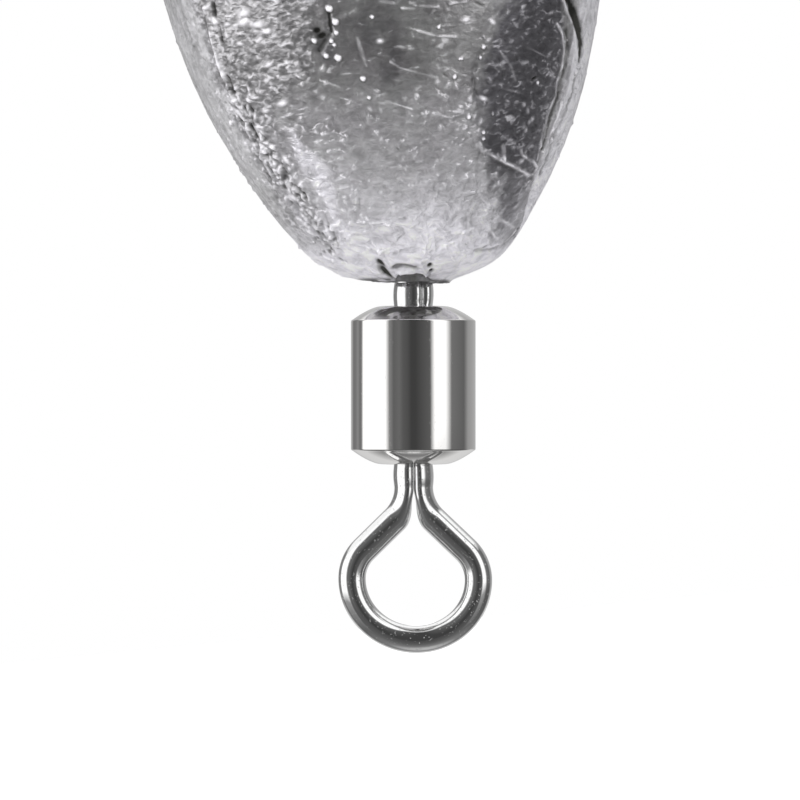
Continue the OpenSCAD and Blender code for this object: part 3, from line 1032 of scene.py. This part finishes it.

# All of them: half width, rise, painted highlight and painted shade, then the lines
STROKES_PX = {
    "seam groove": (0.06, -0.04, 0, 1, SEAM_GROOVE_PX),
    "wider seam groove": (0.1, -0.02, 0, 1, SEAM_GROOVE_PX[:5]),
    "widest seam groove": (0.14, -0.02, 0, 1, SEAM_GROOVE_PX[1:4]),
    "seam lip": (0.05, 0.05, 1, 0, [(564, 0), (569, 14), (575, 28), (577, 45), (577, 70)]),
    "seam fold": (0.035, 0.03, 0.9, 0, [(558, 24), (563, 35), (565, 50), (563, 66), (557, 82), (556, 95),
        (549, 112), (546, 128)]),
    "seam crease": (0.05, -0.03, 0, 0.75, [(567, 30), (569, 45), (568, 62), (561, 82), (558, 98),
        (551, 118), (547, 135), (543, 150)]),
    "outer fold": (0.04, 0.025, 1, 0, [(572, 68), (570, 82), (563, 100), (558, 118), (551, 135),
        (546, 152)]),
    "outer crease": (0.04, -0.03, 0, 0.5, [(576, 78), (572, 95), (563, 118), (556, 135), (550, 155),
        (541, 175)]),
    "vein shade": (0.07, -0.03, 0, 0.5, [(483, 155), (492, 160), (500, 164), (506, 168), (514, 171),
        (522, 175)]),
    "vein": (0.05, 0.09, 1, 0, [(481, 144), (483, 151), (491, 155), (499, 159), (505, 163), (513, 166),
        (521, 171), (529, 175)]),
    "vein spur": (0.055, 0.07, 1, 0, [(504, 146), (505, 152), (505, 161)]),
    "vein branch": (0.045, 0.08, 1, 0, [(522, 150), (523, 155), (528, 159), (534, 162), (538, 168),
        (534, 174), (529, 176)]),
    "vein rim": (0.035, 0.05, 1, 0, [(545, 125), (542, 140), (538, 160)]),
    "film edge": (0.045, -0.05, 0, 0.4, [(482, 52), (476, 64), (474, 80), (478, 96)]),
    "oval right": (0.04, 0.035, 0.7, 0, [(501, 52), (507, 60), (512, 68), (516, 80)]),
    "oval left": (0.04, -0.03, 0, 0.25, [(499, 58), (503, 66), (505, 78)]),
    "crack": (0.07, -0.1, 0, 0.85, [(328, 14), (329, 22), (331, 32)]),
    "lower crack": (0.1, -0.06, 0, 0.7, [(319, 50), (323, 44), (328, 36)]),
    "old cut": (0.05, -0.03, 0.35, 0, [(357, 38), (361, 52), (366, 66)]),
    "low fold": (0.06, -0.06, 0, 0.4, [(478, 252), (492, 251), (503, 247), (511, 240), (518, 231)]),
    "ring": (0.045, 0.04, 0.55, 0, RING_PX),
    "stem arc": (0.1, -0.08, 0, 0.75, [(394, 268.5), (396, 267.4), (399, 266.4), (402, 266), (405, 266.1),
        (408, 266.6), (412, 267.4), (417, 268.4)]),
    "stem lip": (0.15, 0.06, 1, 0, [(397, 273), (404, 272), (412, 273)]),
    "notch shade": (0.09, -0.04, 0, 0.4, [(424, 264), (428, 269), (434, 275)]),
    "left dash": (0.045, -0.12, 0, 0.9, [(209, -4), (212, 6), (213, 17)],
        [(217, 28), (220, 38), (222, 46)], [(226, 76), (229, 85), (232, 93)],
        [(248, 124), (252, 131), (256, 138)], [(293, 187), (298, 192), (303, 196)]),
    "scratches": (0.032, 0.025, 0.7, 0, [(391, 62), (400, 68), (415, 72), (437, 78)],
        [(320, 81), (330, 84), (340, 88)], [(340, 98), (350, 101), (361, 105)],
        [(386, 101), (398, 105), (412, 109)], [(410, 28), (422, 32), (436, 36), (456, 37)],
        [(432, 113), (443, 116), (452, 118)], [(380, 1), (394, 3)], [(402, 8), (413, 9)],
        [(420, 6), (438, 7)], [(450, 4), (467, 2)], [(294, 54), (307, 52)], [(277, 78), (298, 77)],
        [(372, 134), (388, 140)]),
    "foil crease": (0.045, 0.05, 0.9, 0, [(319, 213), (328, 232), (338, 252)],
        [(352, 190), (357, 198), (356, 211)], [(341, 176), (352, 180)], [(322, 232), (336, 226)],
        [(344, 246), (352, 232)], [(322, 160), (340, 166)]),
    "foil shade": (0.04, -0.04, 0, 0.45, [(323, 213), (332, 232), (342, 252)], [(359, 199), (359, 209)]),
    "low lip": (0.05, 0.05, 0.9, 0, [(480, 247), (491, 243)], [(500, 220), (508, 225), (514, 229)],
        [(506, 244), (516, 232)]),
    "fan": (0.04, 0.045, 0.6, 0, *FAN_PX),
    "notch ridge": (0.055, 0.09, 0.9, 0, [(379, 248), (384, 258), (389, 268), (394, 277)],
        [(420, 264), (425, 270), (430, 277)]),
}
STROKE_WOBBLE = 0.03

# Beads of lead in the photograph: place and radius in its pixels
BEADS_PX = [
    (329, 9, 4.5), (335, 22, 4.5), (336, 33, 3.0), (331, 41, 3.0), (334, 45, 2.5), (314, 41, 3.5),
    (326, 56, 3.5), (338, 58, 4.5), (372, 17, 2.5), (363, 79, 3.5), (455, 77, 3.0), (469, 117, 3.0),
    (229, 123, 4.0), (214, 57, 2.5), (179, 35, 2.0), (484, 47, 3.0), (481, 58, 2.0), (538, 83, 2.5),
    (578, 67, 2.5), (576, 72, 3.5), (484, 133, 2.5), (484, 139, 2.5), (264, 152, 3.5), (272, 182, 3.0),
    (276, 178, 2.5), (314, 243, 2.2), (460, 59, 2.0), (462, 59, 2.0), (439, 27, 2.5), (369, 98, 2.5),
]
BEAD_SHRINK = 0.75  # beads look larger in the photograph than they are

# Patches of painted highlight, and pits painted dark as their shade, in the photograph: place, half length
# and half width in pixels, tilt
PATCHES_PX = [
    (213, 22, 5, 3.5, -10), (242, 23, 7, 3.5, 0), (257, 25, 8, 3, -5), (243, 14, 7, 3, 0),
    (218, 64, 4, 7, 8), (222, 74, 4, 6, 10), (237, 113, 7, 3, -40), (205, 8, 6, 2, 0),
    (282, 104, 6, 2.5, 10), (271, 147, 5, 3, -10), (285, 160, 3, 6, 20), (252, 145, 5, 2, -10),
    (292, 198, 3, 5, 10), (298, 219, 3, 6, 15), (308, 232, 2.5, 6, 15), (466, 20, 4, 2, 0),
    (493, 22, 4, 2, -30), (484, 99, 5, 2, -20), (380, 41, 3, 2, 0), (253, 98, 7, 1.5, -5),
    (268, 65, 5, 2, 10), (287, 63, 4, 1.5, 5),
]
PATCH_RISE = 0.03
PITS_PX = [
    (380, 264, 2.8, 7, 0), (384, 273, 3.6, 12, 0), (431, 266, 2.5, 3.5, 0),
    (434, 271, 2, 3, 0), (321, 36, 5, 3, 10), (316, 31, 4, 3, 0), (535, 79, 4, 1.5, 20),
]
PIT_DEPTH = 0.1


def shape_lead(g):
    """Adds the casting's skin: flash, veins, beads, dents, scratches and leathery grain."""
    masks = zones(g)
    # Soft unevenness of the whole casting, held back near its ends
    body = ease(g.from_end, 0.0, 2.5)
    g.skin += (0.035 * g.noise(4.5, 11, 2) - 0.05) * body + 0.014 * g.noise(1.4, 21, 2)
    g.skin += (0.011 * masks["flecked"] + 0.002) * g.noise((0.3, 0.3, 0.17), 41, 3, 0.6)
    # The lower end is fuller at the right than at the left
    for azimuth, height, width, length, rise in LOWER_END_SWELLS:
        x, y = g.apart(azimuth, height, g.everywhere)
        g.swell += rise * np.exp(-(x / width) ** 2 - (y / length) ** 2)
    add_flash(g)
    for width, rise, bright, soot, *lines in STROKES_PX.values():
        for line in lines:
            g.stroke([on_lead(px, py) for px, py in line], width, rise, bright, soot, STROKE_WOBBLE)
    scatter(g, masks)
    scatter_seam(g)
    scatter_creases(g)
    for px, py, size in BEADS_PX:
        g.bead(*on_lead(px, py), BEAD_SHRINK * size * PIXEL_MM)
    g.blots(PATCHES_PX, PATCH_RISE, bright=1.0)
    # The recess round the wire where it comes out of the lower end, painted dark as its shade and without
    # highlights
    across = np.hypot(g.points[..., 0] / RECESS_HALF_W, g.height / RECESS_H)
    recess = 1 - ease(across + 0.08 * g.wobble, 0.8, 1.0)
    g.skin -= RECESS_DEPTH * recess
    g.soot = np.maximum(g.soot * (1 - recess), (0.84 + 0.1 * g.wobble) * recess)
    g.bright *= 1 - recess
    g.blots(PITS_PX, -PIT_DEPTH, soot=1.0)
    # Painted shade along the sharp edges of both ends
    g.soot = np.maximum(g.soot, 0.85 * (1 - ease(g.from_end, 0.03, 0.14)) * ease(g.uneven, -0.6, 0.0))
    g.skin = np.where(g.on_end, 0.02 * g.wobble, g.skin)
    masks["bright"] = np.clip(g.bright, 0, 1)
    masks["soot"] = np.clip(g.soot, 0, 1)
    return masks


def add_flash(g):
    """Flash at the mould's seam, broken into ridges with painted highlights, with short cuts beside it
    painted dark as their shade.
    """
    for i, (azimuth, start) in enumerate(FLASH_LINES):
        wander = azimuth + 1.2 * g.noise(along_only(3.0), 61 + i, 2)
        x = np.radians(wrapped(g.a - wander)) * g.rr
        broken = ease(g.noise(along_only(0.7), 66 + i, 2), -0.1, 0.3)
        line = broken * hump(x / FLASH_W) * ease(g.from_end, start, start + 1)
        g.skin += FLASH_RISE * line
        g.bright = np.maximum(g.bright, 0.7 * line * ease(g.uneven, -0.1, 0.4))
        dashes = ease(g.noise(along_only(0.5), 161 + i, 1), 0.3, 0.45) * ease(g.from_end, 10, 12)
        line = dashes * hump((x - FLASH_CUT_X) / FLASH_CUT_W)
        g.skin -= FLASH_CUT * line
        g.soot = np.maximum(g.soot, 0.9 * line)


# Random marks

def even(low, high):
    """A draw from between low and high."""
    return lambda rng: rng.uniform(low, high)


def about(middle, spread):
    """A draw from around a middle."""
    return lambda rng: rng.normal(middle, spread)


def drawn(rng, values):
    """The values, with each draw among them made in order."""
    return [value(rng) if callable(value) else value for value in values]


# How many are tried and on which skin, then the values of each fleck or bead: length, width, tilt,
# rise, painted highlight and painted shade, or size and painted highlight
SCATTERED = [
    (3200, "flecks", (even(0.06, 0.18), even(0.035, 0.055), about(-12, 24), 0.02, even(0.1, 0.7))),
    (420, "leather", (even(0.08, 0.22), even(0.045, 0.07), about(-10, 16), 0.03, even(0.6, 1.0))),
    (1500, "bloom_and_light", (even(0.06, 0.2), even(0.02, 0.04), about(-5, 30), 0.025, even(0.5, 1.0))),
    (1500, "bloom_and_light", (even(0.06, 0.2), even(0.02, 0.045), about(-5, 30), -0.025, 0.0, even(0.15, 0.5))),
    (11000, "pebbled", (even(0.055, 0.13), even(0.045, 0.08), even(-70, 60), 0.05, even(0.15, 0.65))),
    (900, "flecked", (even(0.05, 0.15), even(0.03, 0.07), about(-12, 25), -0.02, 0.0, even(0.1, 0.5))),
    (420, "beads", (even(0.03, 0.055), even(0.3, 0.8))),
    (260, "scratches", (even(0.2, 0.5), even(0.022, 0.034), about(-17, 5), 0.012, even(0.2, 0.7))),
]
BEAD_SHARE = 0.35
SCRATCH_SHARE = 0.5

SEAM_MARKS = 230
SEAM_DENT_SHARE = 0.3
SEAM_DENT = (even(0.06, 0.14), even(0.04, 0.07), even(30, 110), -0.05, 0.0, even(0.3, 0.8))
SEAM_CRUMB = (even(0.07, 0.17), even(0.045, 0.07), even(-40, 120), 0.045, even(0.85, 1.0))

# Where the foil-like creases are in the photograph: left, right, top, bottom and how many
CREASED_PX = [(315, 352, 195, 262, 16), (350, 400, 215, 262, 12), (420, 490, 215, 262, 12)]
CREASE_STEP = (about(55, 30), even(4, 11), about(0, 14))  # direction, length in pixels and bend
CREASE = (even(0.04, 0.07), 0.06, even(0.5, 1.0), 0.0, 0.03)


def scatter(g, masks):
    """Random flecks, dents, beads and scratches all over the casting."""
    rng = np.random.default_rng(29)
    shares = {**masks, "flecks": masks["flecked"] ** 2, "beads": BEAD_SHARE, "scratches": SCRATCH_SHARE}
    for count, skin, values in SCATTERED:
        mask = np.broadcast_to(shares[skin], g.a.shape)
        shape = g.bead if skin == "beads" else g.fleck
        for _ in range(count):
            height = rng.uniform(0.1, LEAD_L - 0.1)
            azimuth = rng.uniform(-180, 180)
            row = np.searchsorted(g.row_height, height)
            col = np.argmin(np.abs(g.col_azimuth - azimuth))
            share = float(lead_radius(height - half_lead)) / lead_r * mask[row, col]
            made = drawn(rng, values)
            if rng.random() < share:
                shape(azimuth, height, *made)


def scatter_seam(g):
    """Crumbs of lead with painted highlights, with dents between them painted dark as their shade, along
    the seam at the left.
    """
    rng = np.random.default_rng(31)
    for _ in range(SEAM_MARKS):
        t = rng.uniform(0, len(SEAM_PX) - 1)
        (x0, y0), (x1, y1) = SEAM_PX[int(t)], SEAM_PX[int(t) + 1]
        px = x0 + (x1 - x0) * (t % 1) + rng.normal(0, 7)
        py = y0 + (y1 - y0) * (t % 1) + rng.normal(0, 4)
        values = SEAM_DENT if rng.random() < SEAM_DENT_SHARE else SEAM_CRUMB
        g.fleck(*on_lead(px, py), *drawn(rng, values))


def scatter_creases(g):
    """Short creases with painted highlights that fan out from the lower end."""
    rng = np.random.default_rng(37)
    for low_x, high_x, low_y, high_y, count in CREASED_PX:
        for _ in range(count):
            px, py = rng.uniform(low_x, high_x), rng.uniform(low_y, high_y)
            way, reach, bend = drawn(rng, CREASE_STEP)
            places = []
            for turn in (0, bend, 2 * bend):
                places.append(on_lead(px, py))
                px += reach * cos(radians(way + turn))
                py += reach * sin(radians(way + turn))
            g.stroke(places, *drawn(rng, CREASE))


def make_lead(material):
    """The casting, with its marks as attributes of its points."""
    g = LeadGrid()
    masks = shape_lead(g)
    rings = len(g.z)
    faces = np.array(tube_faces(rings, LEAD_COLUMNS))[:, ::-1].tolist() + tube_ends(rings, LEAD_COLUMNS)
    place = Matrix.Translation(lead_middle)
    obj = make_object("lead_casting", g.mesh().reshape(-1, 3), faces, material, place)
    for name, values in masks.items():
        layer = obj.data.attributes.new(name, "FLOAT", "POINT")
        layer.data.foreach_set("value", values.reshape(-1).astype(np.float32))
    return obj


# Assembly

upper_place = Matrix.Translation(upper_middle)
lower_place = (Matrix.Translation(lower_middle) @ Matrix.Rotation(lean, 4, "Y")
               @ Matrix.Rotation(pi, 4, "X"))


def to_lead(turn):
    """Turns an eye over, from the barrel's far side to the lead's side."""
    return Matrix.Rotation(radians(turn), 4, "Z") @ Matrix.Rotation(pi, 4, "X")


make_camera()
make_world()
make_floor()
make_key_light()

barrel_plate = plated("barrel_nickel", (0.93, 0.92, 0.91), rough=(0.03, 0.07), ripple=0.0008, pits=0.0006)
wire_plate = plated("wire_nickel", (0.93, 0.93, 0.93), rough=(0.05, 0.12), ripple=0.004, pits=0.005)
lead = cast_lead()

barrel_points, barrel_faces = barrel_mesh()
eye_points, eye_faces = eye_mesh()
anchor_points, anchor_faces = eye_mesh(SHANK_TWIST)
for end, place, turn in (("upper", upper_place, MOULD_TURN), ("lower", lower_place, -MOULD_TURN)):
    barrel = make_object(f"{end}_barrel_shell", barrel_points, barrel_faces, barrel_plate, place,
                         SHARP_ANGLE)
    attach(barrel, f"{end}_barrel")
    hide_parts(f"{end}_barrel")
    eye = make_object(f"{end}_eye_wire", eye_points, eye_faces, wire_plate, place, SHARP_ANGLE)
    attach(eye, f"{end}_eye")
    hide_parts(f"{end}_eye")
    anchor = make_object(f"{end}_anchor_wire", anchor_points, anchor_faces, wire_plate,
                         place @ to_lead(turn), SHARP_ANGLE)
    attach(anchor, "lead")
    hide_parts(f"{end}_anchor_eye")

body = make_lead(lead)
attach(body, "lead")
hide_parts("lead_body")

view = bpy.context.scene.view_settings
view.view_transform = "Standard"
